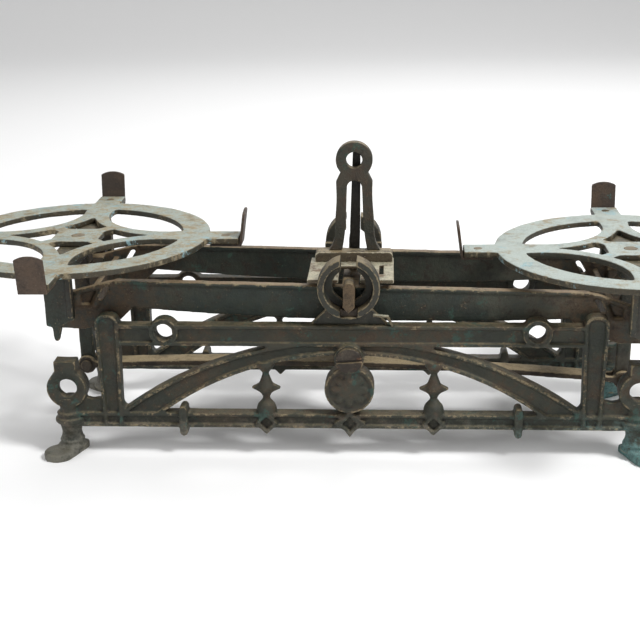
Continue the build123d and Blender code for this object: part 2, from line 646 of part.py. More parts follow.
def beam_side():
    """Front bar of the beam with its two open ends."""
    slope_x = ARM - BAR_SHORT_OF_KNIFE
    drop = CUP_HEIGHT
    toe_x = slope_x + 12
    bar = make_face(Wire([
        Line((-slope_x, BAR_TOP), (slope_x, BAR_TOP)),
        Line((slope_x, BAR_TOP), (toe_x, BAR_BOTTOM)),
        ThreePointArc((toe_x, BAR_BOTTOM), (0, BAR_BOTTOM - BAR_BELLY), (-toe_x, BAR_BOTTOM)),
        Line((-toe_x, BAR_BOTTOM), (-slope_x, BAR_TOP)),
    ]))
    end = poly(
        (slope_x - 4, BAR_TOP), (slope_x + 6, drop - 5.5), (ARM - 6, drop - 14), (BEAM_END, drop - 15),
        (BEAM_END, drop - 46), (ARM - 14, drop - 46.5), (slope_x - 3, drop - 38), (slope_x - 16, BAR_BOTTOM),
    )
    slot = poly(
        (slope_x + 3.5, drop - 9), (slope_x + 8.5, drop - 9.5), (slope_x + 15.5, drop - 21),
        (slope_x + 10.5, drop - 21),
    )
    pocket = poly(
        (slope_x + 15, drop - 12), (ARM - 13, drop - 16.5), (ARM - 13, drop - 24.5),
        (slope_x + 21, drop - 24.5),
    )
    sheet = slab(bar + both_sides(end) - both_sides(slot), BAR_BACK, BAR_FRONT)
    sheet -= both_sides(slab(pocket, BAR_BACK + 2, BAR_FRONT + 1))
    lip = BAR_FLANGE / 2
    flange = slab(rect(-slope_x, slope_x, BAR_TOP - 3, BAR_TOP), BAR_Y - lip, BAR_Y + lip)
    rim_outer = poly(
        (slope_x + 2, drop - 5), (slope_x + 6, drop - 5.5), (ARM - 6, drop - 14), (ARM - 6, drop - 29),
        (slope_x + 16, drop - 29),
    )
    rim_inner = poly(
        (slope_x + 11, drop - 10), (ARM - 10.5, drop - 16.5), (ARM - 10.5, drop - 25.5),
        (slope_x + 19.5, drop - 25.5),
    )
    rim = slab(rim_outer - rim_inner, BAR_BACK, BAR_FRONT + 1.5) - slab(slot, BAR_BACK - 1, BAR_FRONT + 2)
    knife_block = slab(rect(ARM - 9, BEAM_END, drop - 46, drop - 15), BAR_BACK - 5, BAR_FRONT)
    boss = rod_y(12.0, BAR_BACK - 3, BAR_FRONT + 1.5, 0, BAR_TOP - 12.5)
    return sheet + flange + both_sides(rim) + both_sides(knife_block) + boss


def beam():
    """Whole beam casting: two bars, two end webs and the middle bar that carries the needle."""
    front = beam_side()
    web = slab(rect(ARM - 22, ARM - 17, CUP_HEIGHT - 40, CUP_HEIGHT - 16), -BAR_BACK - 1, BAR_BACK + 1)
    middle = slab(
        rect(-CROSS_BAR_HALF, CROSS_BAR_HALF, CUP_HEIGHT - 18, CUP_HEIGHT - 8), -BAR_BACK - 1, BAR_BACK + 1,
    )
    casting = front + to_back(front) + both_sides(web) + middle
    socket = slab(knife_tail(), BAR_BACK - 3, BAR_FRONT + 2)
    end_section = knife_section(ARM, PIVOT_Z, KNIFE_HEIGHT, up=True)
    end_hole = both_sides(slab(end_section, BAR_BACK - 6, BAR_FRONT + 2))
    needle_hole = needle_tang()
    return casting - socket - to_back(socket) - end_hole - to_back(end_hole) - needle_hole


def needle_tang():
    """Square root of the needle, let into the middle bar."""
    half = NEEDLE_WIDTH / 2
    tang = rect(NEEDLE_X - half, NEEDLE_X + half, CUP_HEIGHT - 15, CUP_HEIGHT - 7)
    return slab(tang, -NEEDLE_BACK_Y, -NEEDLE_FRONT_Y)


def needle():
    """Flat tapered needle that rises behind the index fork."""
    half = NEEDLE_WIDTH / 2
    tip_half = NEEDLE_TIP_WIDTH / 2
    top = CUP_HEIGHT + NEEDLE_TOP_ABOVE_CUP
    root = CUP_HEIGHT - 15
    face = poly((-half, root), (half, root), (half, CUP_HEIGHT + 30), (tip_half, top - 6), (0, top),
                (-tip_half, top - 6), (-half, CUP_HEIGHT + 30))
    return Pos(NEEDLE_X, 0, 0) * slab(face, -NEEDLE_BACK_Y, -NEEDLE_FRONT_Y)


# ---------------------------------------------------------------- pan carriers (drawn on the right)

def leg():
    """Front leg of the carrier with its rib and its pointed toe."""
    half = LEG_WIDTH / 2
    bottom = CUP_HEIGHT - LEG_BOTTOM_BELOW_CUP
    toe = CUP_HEIGHT - TOE_BELOW_CUP
    face = poly(
        (ARM - half, RING_BOTTOM), (ARM + half, RING_BOTTOM), (ARM + half, bottom + 1),
        (ARM + half - 5, bottom), (ARM + half - 5.6, toe + 1), (ARM + half - 9, toe),
        (ARM - 1, bottom + 1), (ARM - half + 4, bottom + 5), (ARM - half, bottom + 6),
    )
    body = slab(face, LEG_BACK, LEG_FRONT)
    rib = slab(rect(ARM - half, ARM - half + 4.5, bottom + 8, RING_BOTTOM - 3), LEG_FRONT, LEG_FRONT + 2)
    return body + rib


def carrier():
    """Yoke under the ring with a leg at the front and one at the back."""
    half = LEG_WIDTH / 2
    yoke = slab(rect(ARM - half, ARM + half, YOKE_BOTTOM, RING_BOTTOM), -LEG_FRONT, LEG_FRONT)
    hole = plate(Pos(ARM, 0) * Circle(HUB_RIVET_R), YOKE_BOTTOM - 1, YOKE_THICK + 2)
    return yoke + leg() + to_back(leg()) - hole


def carrier_bearing():
    """Hard steel block behind the front leg, which sits on the end knife's edge."""
    half = KNIFE_WIDTH / 2 + 2.5
    apex = PIVOT_Z + KNIFE_GAP
    lip = apex - half / tan(radians(GROOVE_HALF_ANGLE))
    section = poly(
        (ARM - half, apex + 9), (ARM + half, apex + 9), (ARM + half, lip), (ARM, apex), (ARM - half, lip),
    )
    return slab(section, LEG_BACK - 10, LEG_BACK)


def stem():
    """Hanging strap from the yoke's middle down to the check lever."""
    half = STEM_WIDTH / 2
    strap_face = rect(ARM - half, ARM + half, LEVER_Z, YOKE_BOTTOM - 2)
    strap_face += Pos(ARM, LEVER_Z) * Circle(half + 1.5)
    strap = slab(strap_face, -STEM_THICK / 2, STEM_THICK / 2)
    boss = plate(Pos(ARM, 0) * Rectangle(18, 18), YOKE_BOTTOM - 11, 11)
    eye_hole = rod_y(END_PIN_R + JOINT_PLAY, -STEM_THICK, STEM_THICK, ARM, LEVER_Z)
    rivet_hole = plate(Pos(ARM, 0) * Circle(HUB_RIVET_R), YOKE_BOTTOM - 8, 9)
    return strap + boss - eye_hole - rivet_hole


def hub_rivet_head():
    """Head of the hub's rivet, let in flush so that the pan's foot lies flat."""
    return plate(Pos(ARM, 0) * Circle(HUB_HEAD_R), RING_TOP - HUB_HEAD_THICK, HUB_HEAD_THICK)


def lug_rivet_head(turn):
    """Head of one lug's rivet, let in flush with the ring's top."""
    disc = Pos(LUG_R - LUG_RIVET_INSIDE, 0) * Circle(LUG_HEAD_R)
    return lug_turn(turn) * plate(disc, RING_TOP - LUG_HEAD_THICK, LUG_HEAD_THICK)


def hub_rivet():
    """Rivet through the ring's hub and the yoke into the stem."""
    shank = plate(Pos(ARM, 0) * Circle(HUB_RIVET_R), YOKE_BOTTOM - 8, RING_TOP - YOKE_BOTTOM + 8)
    return shank + hub_rivet_head()


def ring_face():
    """Pan ring in plan: rim, four hollow-sided arms, square hub and four lug arms."""
    disc = Circle(RING_R)
    lens = (Pos(LENS_CENTRE, LENS_CENTRE) * Circle(LENS_R)) & Circle(RING_INNER_R)
    hub = Rectangle(2 * HUB_HALF, 2 * HUB_HALF) + Rot(0, 0, 45) * Rectangle(LINK_WIDTH, 4 * HUB_HALF)
    hub += Rot(0, 0, -45) * Rectangle(LINK_WIDTH, 4 * HUB_HALF)
    middle = Rectangle(4 * HUB_HALF + 50, 4 * HUB_HALF + 50)
    for turn in range(4):
        middle -= Rot(0, 0, 90 * turn) * Pos(TRIANGLE_CENTRE, TRIANGLE_CENTRE) * Circle(TRIANGLE_R)
    face = disc - (middle - hub)
    lug_arm = Pos((RING_R + LUG_R) / 2 - 4, 0) * Rectangle(LUG_R - RING_R + 8, ARM_WIDTH)
    for turn in range(4):
        face -= Rot(0, 0, 90 * turn) * lens
        face += Rot(0, 0, 90 * turn) * lug_arm
    return face


def pan_ring():
    """Flat spider ring that the pan's foot rests on."""
    ring = plate(Pos(ARM, 0) * ring_face(), RING_BOTTOM, RING_THICK)
    ring -= plate(Pos(ARM, 0) * Circle(HUB_RIVET_R), RING_BOTTOM - 1, RING_THICK + 2) + hub_rivet_head()
    shank = Pos(LUG_R - LUG_RIVET_INSIDE, 0) * Circle(LUG_RIVET_R)
    for turn in range(4):
        ring -= lug_turn(turn) * plate(shank, RING_BOTTOM - 1, RING_THICK + 2) + lug_rivet_head(turn)
    return ring


def lug_turn(turn):
    """Placement of one of the four lugs round the ring's centre."""
    return Pos(ARM, 0, 0) * Rot(0, 0, 90 * turn)


def lug(turn):
    """Bent strip that keeps the pan on the ring, riveted under a lug arm."""
    lean = tan(radians(LUG_LEAN))
    foot_bottom = RING_BOTTOM - LUG_THICK
    top = RING_TOP + LUG_ABOVE
    shift = (top - foot_bottom) * lean
    section = poly(
        (LUG_R - LUG_FOOT, foot_bottom), (LUG_R + LUG_THICK, foot_bottom),
        (LUG_R + LUG_THICK + shift, top), (LUG_R + shift, top),
        (LUG_R + (RING_BOTTOM - foot_bottom) * lean, RING_BOTTOM), (LUG_R - LUG_FOOT, RING_BOTTOM),
    )
    strip = extrude(Plane.XZ * section, LUG_WIDTH / 2, both=True)
    crown = Pos(LUG_R, 0, top) * Rot(0, 90, 0) * Cylinder(LUG_WIDTH, 30)
    keep = Pos(LUG_R, 0, foot_bottom - 1) * Box(80, LUG_WIDTH, 2 * (top - LUG_WIDTH * 0.2 - foot_bottom))
    strip &= keep + Pos(0, 0, -LUG_WIDTH) * crown
    hole = plate(Pos(LUG_R - LUG_RIVET_INSIDE, 0) * Circle(LUG_RIVET_R), foot_bottom - 1, LUG_THICK + 2)
    return lug_turn(turn) * (strip - hole)


def lug_rivets():
    """Four rivets that hold the lugs under their arms."""
    place = Pos(LUG_R - LUG_RIVET_INSIDE, 0)
    foot_bottom = RING_BOTTOM - LUG_THICK
    shank = plate(place * Circle(LUG_RIVET_R), foot_bottom, RING_TOP - foot_bottom)
    tail = plate(place * Circle(LUG_RIVET_R + 1.2), foot_bottom - 0.8, 0.8)
    return Compound([lug_turn(turn) * (shank + tail) + lug_rivet_head(turn) for turn in range(4)])


# ---------------------------------------------------------------- placing and writing

def on_beam(shape):
    """A piece of the beam, leaning with it about the centre knife edge."""
    return Pos(0, 0, PIVOT_Z) * Rot(0, REST_TILT, 0) * Pos(0, 0, -PIVOT_Z) * shape


def on_lever(shape):
    """A piece of the check lever, leaning with it about its centre pin."""
    return Pos(0, 0, LEVER_Z) * Rot(0, REST_TILT, 0) * Pos(0, 0, -LEVER_Z) * shape


def on_right(shape):
    """A piece of the right-hand carrier, lowered without turning."""
    return Pos(ARM * cos(radians(REST_TILT)) - ARM, 0, -ARM * sin(radians(REST_TILT))) * shape


def on_left(shape):
    """The left-hand copy of a carrier piece, raised without turning."""
    rise = Pos(ARM - ARM * cos(radians(REST_TILT)), 0, ARM * sin(radians(REST_TILT)))
    return rise * mirror(shape, about=Plane.YZ)


def left(shape):
    """The left-hand copy of a beam or lever piece, before it leans."""
    return mirror(shape, about=Plane.YZ)


nodes = {
    "front_frame": side_frame(),
    "front_bearing_cup": bearing_cup(),
    "front_centre_bearing": centre_bearing(),
    "bridge_plate": bridge_plate(),
    "pedestal": pedestal(),
    "index_fork": index_fork(),
    "fork_screws": fork_screws(),
    "bearing_clip": bearing_clip(),
    "lever_bridge": lever_bridge(),
    "front_tie_screw": tie_screw(),
    "lever_pin": lever_pin(),
    "beam": on_beam(beam()),
    "needle": on_beam(needle()),
    "front_centre_knife": on_beam(centre_knife()),
    "rear_centre_knife": on_beam(to_back(centre_knife())),
    "right_front_knife": on_beam(end_knife()),
    "right_rear_knife": on_beam(to_back(end_knife())),
    "left_front_knife": on_beam(left(end_knife())),
    "left_rear_knife": on_beam(left(to_back(end_knife()))),
    "check_lever": on_lever(check_lever()),
    "right_lever_pin": on_lever(end_pin()),
    "left_lever_pin": on_lever(left(end_pin())),
}
nodes["rear_frame"] = to_back(nodes["front_frame"])
nodes["rear_bearing_cup"] = to_back(nodes["front_bearing_cup"])
nodes["rear_centre_bearing"] = to_back(nodes["front_centre_bearing"])
nodes["rear_tie_screw"] = to_back(nodes["front_tie_screw"])

for side, place in (("left", on_left), ("right", on_right)):
    nodes[side + "_carrier"] = place(carrier())
    nodes[side + "_stem"] = place(stem())
    nodes[side + "_front_bearing"] = place(carrier_bearing())
    nodes[side + "_rear_bearing"] = place(to_back(carrier_bearing()))
    nodes[side + "_pan_ring"] = place(pan_ring())
    nodes[side + "_hub_rivet"] = place(hub_rivet())
    nodes[side + "_lug_rivets"] = place(lug_rivets())
    for number, name in enumerate(("outer", "back", "inner", "front")):
        nodes[side + "_" + name + "_lug"] = place(lug(number))

for name, shape in nodes.items():
    export_step(shape, f"parts/{name}.step")
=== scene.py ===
import json
import math

import bpy
import numpy as np
from mathutils import Matrix, Vector


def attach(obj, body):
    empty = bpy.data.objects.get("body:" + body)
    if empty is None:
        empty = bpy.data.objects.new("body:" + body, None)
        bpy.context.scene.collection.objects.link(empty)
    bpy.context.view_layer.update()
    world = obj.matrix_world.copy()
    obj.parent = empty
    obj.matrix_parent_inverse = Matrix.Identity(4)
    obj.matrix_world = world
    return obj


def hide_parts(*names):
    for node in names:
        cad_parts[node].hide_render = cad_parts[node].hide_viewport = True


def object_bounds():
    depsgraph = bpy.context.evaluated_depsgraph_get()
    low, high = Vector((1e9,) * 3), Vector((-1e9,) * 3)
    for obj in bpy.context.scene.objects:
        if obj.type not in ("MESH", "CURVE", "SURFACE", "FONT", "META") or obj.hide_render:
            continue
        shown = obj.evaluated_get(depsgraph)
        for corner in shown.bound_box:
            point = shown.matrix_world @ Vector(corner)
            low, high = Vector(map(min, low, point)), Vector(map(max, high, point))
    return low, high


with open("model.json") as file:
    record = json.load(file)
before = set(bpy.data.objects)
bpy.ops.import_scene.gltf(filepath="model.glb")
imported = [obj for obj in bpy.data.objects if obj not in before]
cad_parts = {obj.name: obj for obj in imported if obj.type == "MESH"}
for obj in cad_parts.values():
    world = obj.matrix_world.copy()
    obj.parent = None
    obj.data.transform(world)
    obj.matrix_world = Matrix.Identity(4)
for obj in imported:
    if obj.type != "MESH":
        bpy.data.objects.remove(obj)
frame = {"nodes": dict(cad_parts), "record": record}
cad_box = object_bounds()
nodes = frame["nodes"]
body_of_node = {n: b for b, members in frame["record"]["behaviour"]["bodies"].items() for n in members}
slot_of_node = {p["node"]: p["material_slot"] for p in frame["record"]["subparts"]}
MM = 0.001
LENS = 67.69                        # focal length on a sensor 36 mm wide
SENSOR = 36
PITCH, YAW, ROLL = 19.46, -3.52, -0.96
CAMERA_PLACE = (0.03226, -0.96548, 0.43588)
BUMP_DEPTH = 0.002                  # height that a bump of strength 1 stands for, in metres
SMOOTHING = 0.5                     # share of the way to its neighbours that a point moves
FLATTENING = 0.7                    # the same, for the reference surface that edges stand out from
EDGE_REACH = 3.0                    # how wide that reference surface is smoothed, in millimetres
EDGE_HEIGHT = 0.26                  # a bend this high, in millimetres, counts as a full edge
LUMP_SIZE, GRAIN_SIZE = 11, 2.4     # width of the casting's lumps and grain, in millimetres
FINE_VOXEL = 0.6                    # below this mesh size a piece is machined or small, not rough cast
ROOM_LIGHT = 0.46


# ---------------------------------------------------------------- camera

def make_camera():
    """Camera at the photograph's viewing angle: it looks down and a little to the left."""
    pitch, yaw, roll = math.radians(PITCH), math.radians(YAW), math.radians(ROLL)
    forward = Vector((math.sin(yaw) * math.cos(pitch), math.cos(yaw) * math.cos(pitch), -math.sin(pitch)))
    right = Vector((math.cos(yaw), -math.sin(yaw), 0))
    up = right.cross(forward)
    x_axis = right * math.cos(roll) + up * math.sin(roll)
    y_axis = up * math.cos(roll) - right * math.sin(roll)
    data = bpy.data.cameras.new("camera")
    data.lens = LENS
    data.sensor_width = SENSOR
    camera = bpy.data.objects.new("camera", data)
    bpy.context.scene.collection.objects.link(camera)
    turn = Matrix((x_axis, y_axis, -forward)).transposed().to_4x4()
    camera.matrix_world = Matrix.Translation(CAMERA_PLACE) @ turn
    bpy.context.scene.camera = camera


# ---------------------------------------------------------------- materials

class Graph:
    """Small helper for building a material's nodes."""

    def __init__(self, name):
        self.material = bpy.data.materials.new(name)
        self.material.use_nodes = True
        self.tree = self.material.node_tree
        self.shader = self.tree.nodes["Principled BSDF"]
        coords = self.tree.nodes.new("ShaderNodeTexCoord")
        self.coords = coords.outputs["Object"]

    def add(self, kind, inputs=None, **settings):
        node = self.tree.nodes.new(kind)
        for key, value in settings.items():
            setattr(node, key, value)
        for key, value in (inputs or {}).items():
            if isinstance(value, bpy.types.NodeSocket):
                self.tree.links.new(value, node.inputs[key])
            else:
                node.inputs[key].default_value = value
        return node

    def noise(self, scale, detail=4.0, rough=0.6, offset=0.0):
        """Noise value, from 0 to 1, with features about 1/scale metres across."""
        shift = (offset, offset * 0.7, -offset)
        place = self.add("ShaderNodeMapping", {"Vector": self.coords, "Location": shift})
        out = self.add("ShaderNodeTexNoise", {
            "Vector": place.outputs[0], "Scale": scale, "Detail": detail, "Roughness": rough,
        })
        return out.outputs["Fac"]

    def band(self, value, low, high):
        """0 below low, 1 above high, smooth between."""
        out = self.add("ShaderNodeMapRange", {"Value": value, "From Min": low, "From Max": high},
                       interpolation_type="SMOOTHSTEP")
        return out.outputs["Result"]

    def math(self, operation, a, b):
        return self.add("ShaderNodeMath", {0: a, 1: b}, operation=operation).outputs[0]

    def plus(self, a, b, share):
        """a with a share of b added."""
        return self.math("ADD", a, self.math("MULTIPLY", b, share))

    def mix(self, factor, a, b):
        out = self.add("ShaderNodeMix", data_type="RGBA")
        for index, value in ((0, factor), (6, a), (7, b)):
            if isinstance(value, bpy.types.NodeSocket):
                self.tree.links.new(value, out.inputs[index])
            else:
                out.inputs[index].default_value = value
        return out.outputs[2]

    def attribute(self, name):
        return self.add("ShaderNodeAttribute", attribute_name=name).outputs["Fac"]

    def upward(self):
        """How far the surface faces up, from -1 to 1."""
        normal = self.add("ShaderNodeNewGeometry").outputs["Normal"]
        return self.add("ShaderNodeSeparateXYZ", {0: normal}).outputs["Z"]

    def axis(self, letter):
        """Place along one axis of the object's rest frame, in metres."""
        return self.add("ShaderNodeSeparateXYZ", {0: self.coords}).outputs[letter]

    def plug(self, name, value):
        socket = self.shader.inputs[name]
        if isinstance(value, bpy.types.NodeSocket):
            self.tree.links.new(value, socket)
        else:
            socket.default_value = value


def rgb(r, g, b):
    """Linear colour with alpha from screen values of 0 to 255."""
    return tuple((c / 255) ** 2.2 for c in (r, g, b)) + (1.0,)


DARK_GREEN = rgb(40, 47, 38)
DEEP_GREEN = rgb(27, 38, 32)
OLIVE = rgb(72, 70, 54)
BROWN = rgb(72, 60, 44)
RUST = rgb(104, 66, 42)
DARK_BROWN = rgb(44, 36, 27)
# worn paint colour; some finishes also use it for the painted light on upward faces
WORN_AND_LIT = rgb(136, 122, 94)
TAN = rgb(150, 134, 104)
CREAM = rgb(196, 188, 162)
TEAL = rgb(60, 90, 84)
VERDIGRIS = rgb(44, 72, 64)
PALE_BLUE = rgb(164, 174, 168)
PALE_GREY = rgb(146, 150, 138)
# soot colour for dirt and specks; also used for the painted shade in hollows
SOOT_AND_SHADE = rgb(20, 19, 16)
STEEL = rgb(112, 102, 88)


def old_iron(name, paint, second, stain, wear, patch, lit_top=None, lit_top_second=None, lit_top_amount=0.0,
             stain_amount=0.5, wear_amount=0.5, patch_amount=0.3, rough=(0.42, 0.78), metal=0.0,
             bump=0.55, scale=1.0, right=None, right_light_amount=0.5, feet=False, lit_top_right=None, ends=None,
             grime=0.5):
    """Old paint on cast iron: two tones, a lighter patchy tone on upward faces that paints the light from
    above, brown stain, patches and worn edges.

    The amounts run from 0 to 1. `right` is a lighter tone that grows towards the object's right side,
    painted light from the lamp on that side, `ends` one that grows towards both ends, and `feet` lightens
    what is near the floor.
    """
    g = Graph(name)
    broad = g.noise(24 * scale, 5, 0.62, 0.3)
    middle = g.noise(95 * scale, 6, 0.7, 1.7)
    fine = g.noise(430 * scale, 4, 0.72, 2.9)
    speck = g.noise(1400 * scale, 2, 0.6, 4.1)
    colour = g.mix(g.band(g.plus(broad, fine, 0.4), 0.56, 0.82), paint, second)
    # painted light: a lighter tone towards the right side, where the key lamp stands
    if right:
        place = g.band(g.axis("X"), -0.1, 0.3)
        share = g.math("MULTIPLY", place, g.band(g.math("ADD", broad, middle), 0.75, 1.15))
        colour = g.mix(g.math("MULTIPLY", share, right_light_amount), colour, right)
    if ends:
        place = g.band(g.math("ABSOLUTE", g.axis("X"), 0.0), 0.12, 0.2)
        share = g.math("MULTIPLY", place, g.band(g.plus(middle, fine, 0.4), 0.5, 0.8))
        colour = g.mix(g.math("MULTIPLY", share, 0.7), colour, ends)
    # painted light: upward faces take a lighter, patchy tone as if lit from above, so the sides stay
    # darker
    if lit_top:
        above = g.band(g.upward(), 0.5, 0.85)
        lit_tone = g.mix(g.band(g.plus(middle, fine, 0.5), 0.62, 0.92), lit_top, lit_top_second)
        if lit_top_right:
            lit_tone = g.mix(g.math("MULTIPLY", g.band(g.axis("X"), -0.05, 0.05), 0.85), lit_tone, lit_top_right)
        broken = g.band(g.plus(middle, fine, 0.35), 0.62 - 0.4 * lit_top_amount,
                        0.8 - 0.4 * lit_top_amount)
        share = g.math("MULTIPLY", g.math("MULTIPLY", above, broken), min(1.0, 0.35 + lit_top_amount * 0.65))
        colour = g.mix(share, colour, lit_tone)
    stain_mask = g.band(g.math("ADD", g.math("MULTIPLY", middle, 0.8), g.math("MULTIPLY", broad, 0.35)),
                        0.74 - 0.32 * stain_amount, 0.86 - 0.32 * stain_amount)
    colour = g.mix(g.math("MULTIPLY", stain_mask, 0.85), colour, stain)
    patch_mask = g.band(g.plus(g.noise(44 * scale, 5, 0.72, 6.3), fine, 0.25),
                        0.9 - 0.34 * patch_amount, 0.95 - 0.34 * patch_amount)
    colour = g.mix(g.math("MULTIPLY", patch_mask, 0.8), colour, patch)
    if feet:
        low = g.band(g.axis("Z"), 0.042, 0.0)
        shade = g.mix(g.band(g.axis("X"), 0.05, 0.2), rgb(104, 102, 92), rgb(90, 126, 124))
        spread = g.band(g.plus(g.plus(middle, fine, 0.5), low, 0.2), 0.72, 0.98)
        colour = g.mix(g.math("MULTIPLY", g.math("POWER", low, 0.5), spread), colour, shade)
    shadow = g.band(g.plus(g.noise(60 * scale, 5, 0.75, 11.2), fine, 0.3), 0.62, 0.86)
    colour = g.mix(g.math("MULTIPLY", shadow, grime), colour, SOOT_AND_SHADE)
    # painted shade: concave hollows darkened with the soot colour
    colour = g.mix(g.math("MULTIPLY", g.band(g.attribute("hollow_shade"), 0.2, 0.9), 0.8), colour, SOOT_AND_SHADE)
    edge = g.math("ADD", g.attribute("edge"), g.math("MULTIPLY", g.math("SUBTRACT", fine, 0.5), 1.6))
    edge = g.math("ADD", edge, g.math("MULTIPLY", g.math("SUBTRACT", middle, 0.5), 1.6))
    edge_mask = g.band(edge, 1.0 - 0.5 * wear_amount, 1.25 - 0.5 * wear_amount)
    colour = g.mix(g.math("MULTIPLY", edge_mask, 0.7), colour, wear)
    flecks = g.band(g.plus(g.noise(700 * scale, 3, 0.75, 8.8), middle, 0.5), 0.9, 1.0)
    colour = g.mix(g.math("MULTIPLY", flecks, 0.55), colour, wear)
    colour = g.mix(g.math("MULTIPLY", g.band(speck, 0.54, 0.68), 0.5), colour, SOOT_AND_SHADE)
    g.plug("Base Color", colour)
    roughness = g.add("ShaderNodeMapRange", {
        "Value": g.math("ADD", g.math("MULTIPLY", middle, 0.6), g.math("MULTIPLY", fine, 0.4)),
        "From Min": 0.3, "From Max": 0.7, "To Min": rough[0], "To Max": rough[1],
    }).outputs["Result"]
    g.plug("Roughness", roughness)
    g.plug("Metallic", metal)
    height = g.math("ADD", g.math("MULTIPLY", middle, 1.0), g.math("MULTIPLY", fine, 0.5))
    height = g.math("ADD", height, g.math("MULTIPLY", speck, 0.18))
    bumps = g.add("ShaderNodeBump", {"Height": height, "Strength": bump, "Distance": BUMP_DEPTH})
    g.plug("Normal", bumps.outputs["Normal"])
    return g.material


FINISHES = {
    "frame_iron": dict(
        paint=rgb(38, 42, 32), second=rgb(54, 50, 36), stain=rgb(66, 53, 38), wear=WORN_AND_LIT, patch=VERDIGRIS,
        lit_top=OLIVE, lit_top_second=WORN_AND_LIT, lit_top_amount=0.55, right=rgb(52, 62, 52), right_light_amount=0.6, feet=True,
        stain_amount=0.56, wear_amount=0.5, patch_amount=0.56, bump=0.7),
    "cup_iron": dict(
        paint=rgb(46, 44, 35), second=rgb(40, 43, 34), stain=rgb(58, 49, 36), wear=WORN_AND_LIT, patch=DARK_GREEN,
        lit_top=WORN_AND_LIT, lit_top_second=TAN, lit_top_amount=0.6,
        stain_amount=0.45, wear_amount=0.65, patch_amount=0.4),
    "bearing_steel": dict(
        paint=DARK_BROWN, second=BROWN, stain=SOOT_AND_SHADE, wear=WORN_AND_LIT, patch=RUST,
        stain_amount=0.4, metal=0.3, rough=(0.35, 0.65)),
    "bridge_iron": dict(
        paint=rgb(98, 90, 70), second=BROWN, stain=rgb(106, 82, 56), wear=CREAM, patch=OLIVE,
        lit_top=rgb(180, 172, 146), lit_top_second=PALE_GREY, lit_top_amount=0.9,
        stain_amount=0.54, wear_amount=0.5, patch_amount=0.36),
    "pedestal_iron": dict(
        paint=rgb(78, 70, 54), second=BROWN, stain=DARK_BROWN, wear=CREAM, patch=TEAL,
        lit_top=TAN, lit_top_second=rgb(112, 104, 84), lit_top_amount=0.6,
        stain_amount=0.45, wear_amount=0.75, patch_amount=0.3),
    "fork_iron": dict(
        paint=rgb(46, 47, 38), second=rgb(60, 54, 42), stain=rgb(62, 50, 38), wear=TAN,
        patch=rgb(44, 66, 54), lit_top=WORN_AND_LIT, lit_top_second=TAN, lit_top_amount=0.6,
        stain_amount=0.55, wear_amount=0.6, patch_amount=0.5, scale=1.4, bump=0.7),
    "fastener_steel": dict(
        paint=rgb(74, 66, 56), second=DARK_BROWN, stain=RUST, wear=TAN, patch=OLIVE,
        lit_top=WORN_AND_LIT, lit_top_second=TAN, lit_top_amount=0.4,
        stain_amount=0.35, wear_amount=0.5, metal=0.2, rough=(0.4, 0.68)),
    "beam_iron": dict(
        paint=DEEP_GREEN, second=rgb(44, 48, 38), stain=DARK_BROWN, wear=WORN_AND_LIT, patch=rgb(48, 72, 62),
        lit_top=rgb(126, 104, 78), lit_top_second=TAN, lit_top_amount=0.8, right=rgb(78, 76, 64), right_light_amount=0.6,
        ends=rgb(86, 64, 42), stain_amount=0.45, wear_amount=0.55, patch_amount=0.46),
    "knife_steel": dict(
        paint=rgb(92, 76, 56), second=DARK_BROWN, stain=DARK_BROWN, wear=TAN, patch=WORN_AND_LIT,
        lit_top=WORN_AND_LIT, lit_top_second=TAN, lit_top_amount=0.5,
        stain_amount=0.42, wear_amount=0.6, metal=0.3, rough=(0.35, 0.65)),
    "needle_steel": dict(
        paint=rgb(44, 38, 30), second=SOOT_AND_SHADE, stain=BROWN, wear=STEEL, patch=DARK_GREEN,
        stain_amount=0.3, wear_amount=0.35, rough=(0.4, 0.65)),
    "lever_iron": dict(
        paint=DARK_BROWN, second=BROWN, stain=OLIVE, wear=TAN, patch=DARK_GREEN,
        lit_top=rgb(162, 144, 112), lit_top_second=TAN, lit_top_amount=1.0,
        stain_amount=0.3, wear_amount=0.5, patch_amount=0.2),
    "carrier_iron": dict(
        paint=DARK_GREEN, second=DARK_BROWN, stain=BROWN, wear=WORN_AND_LIT, patch=TEAL,
        lit_top=OLIVE, lit_top_second=WORN_AND_LIT, lit_top_amount=0.5, right=rgb(84, 82, 70), right_light_amount=0.6,
        stain_amount=0.45, wear_amount=0.5, patch_amount=0.3),
    "ring_paint": dict(
        paint=rgb(50, 50, 40), second=rgb(66, 58, 42), stain=rgb(142, 130, 104), wear=rgb(112, 98, 72),
        patch=rgb(138, 172, 178), lit_top=rgb(150, 160, 152), lit_top_second=rgb(154, 144, 118), lit_top_amount=1.0,
        lit_top_right=PALE_BLUE, stain_amount=0.46, wear_amount=0.66, patch_amount=0.54, bump=0.6, grime=0.3),
    "lug_steel": dict(
        paint=rgb(76, 60, 46), second=rgb(54, 44, 36), stain=rgb(58, 48, 40), wear=STEEL, patch=TEAL,
        stain_amount=0.45, wear_amount=0.3, patch_amount=0.36, bump=0.4),
}


# ---------------------------------------------------------------- cast pieces

def hash_noise(points, cell, seed):
    """Smooth value noise from -1 to 1 at each point, with features of the given size in metres."""
    rng = np.random.default_rng(seed)
    table = rng.uniform(-1, 1, 4096)
    place = points / cell + 1000.0
    base = np.floor(place).astype(np.int64)
    frac = place - base
    frac = frac * frac * (3 - 2 * frac)
    total = np.zeros(len(points))
    for corner in range(8):
        step = np.array([(corner >> axis) & 1 for axis in range(3)])
        weight = np.prod(np.where(step, frac, 1 - frac), axis=1)
        index = (base + step) @ np.array([73856093, 19349663, 83492791]) % 4096
        total += weight * table[index]
    return total


def neighbour_mean(values, edges, count):
    """Mean of each vertex's neighbours."""
    total = np.zeros_like(values)
    np.add.at(total, edges[:, 0], values[edges[:, 1]])
    np.add.at(total, edges[:, 1], values[edges[:, 0]])
    return total / count


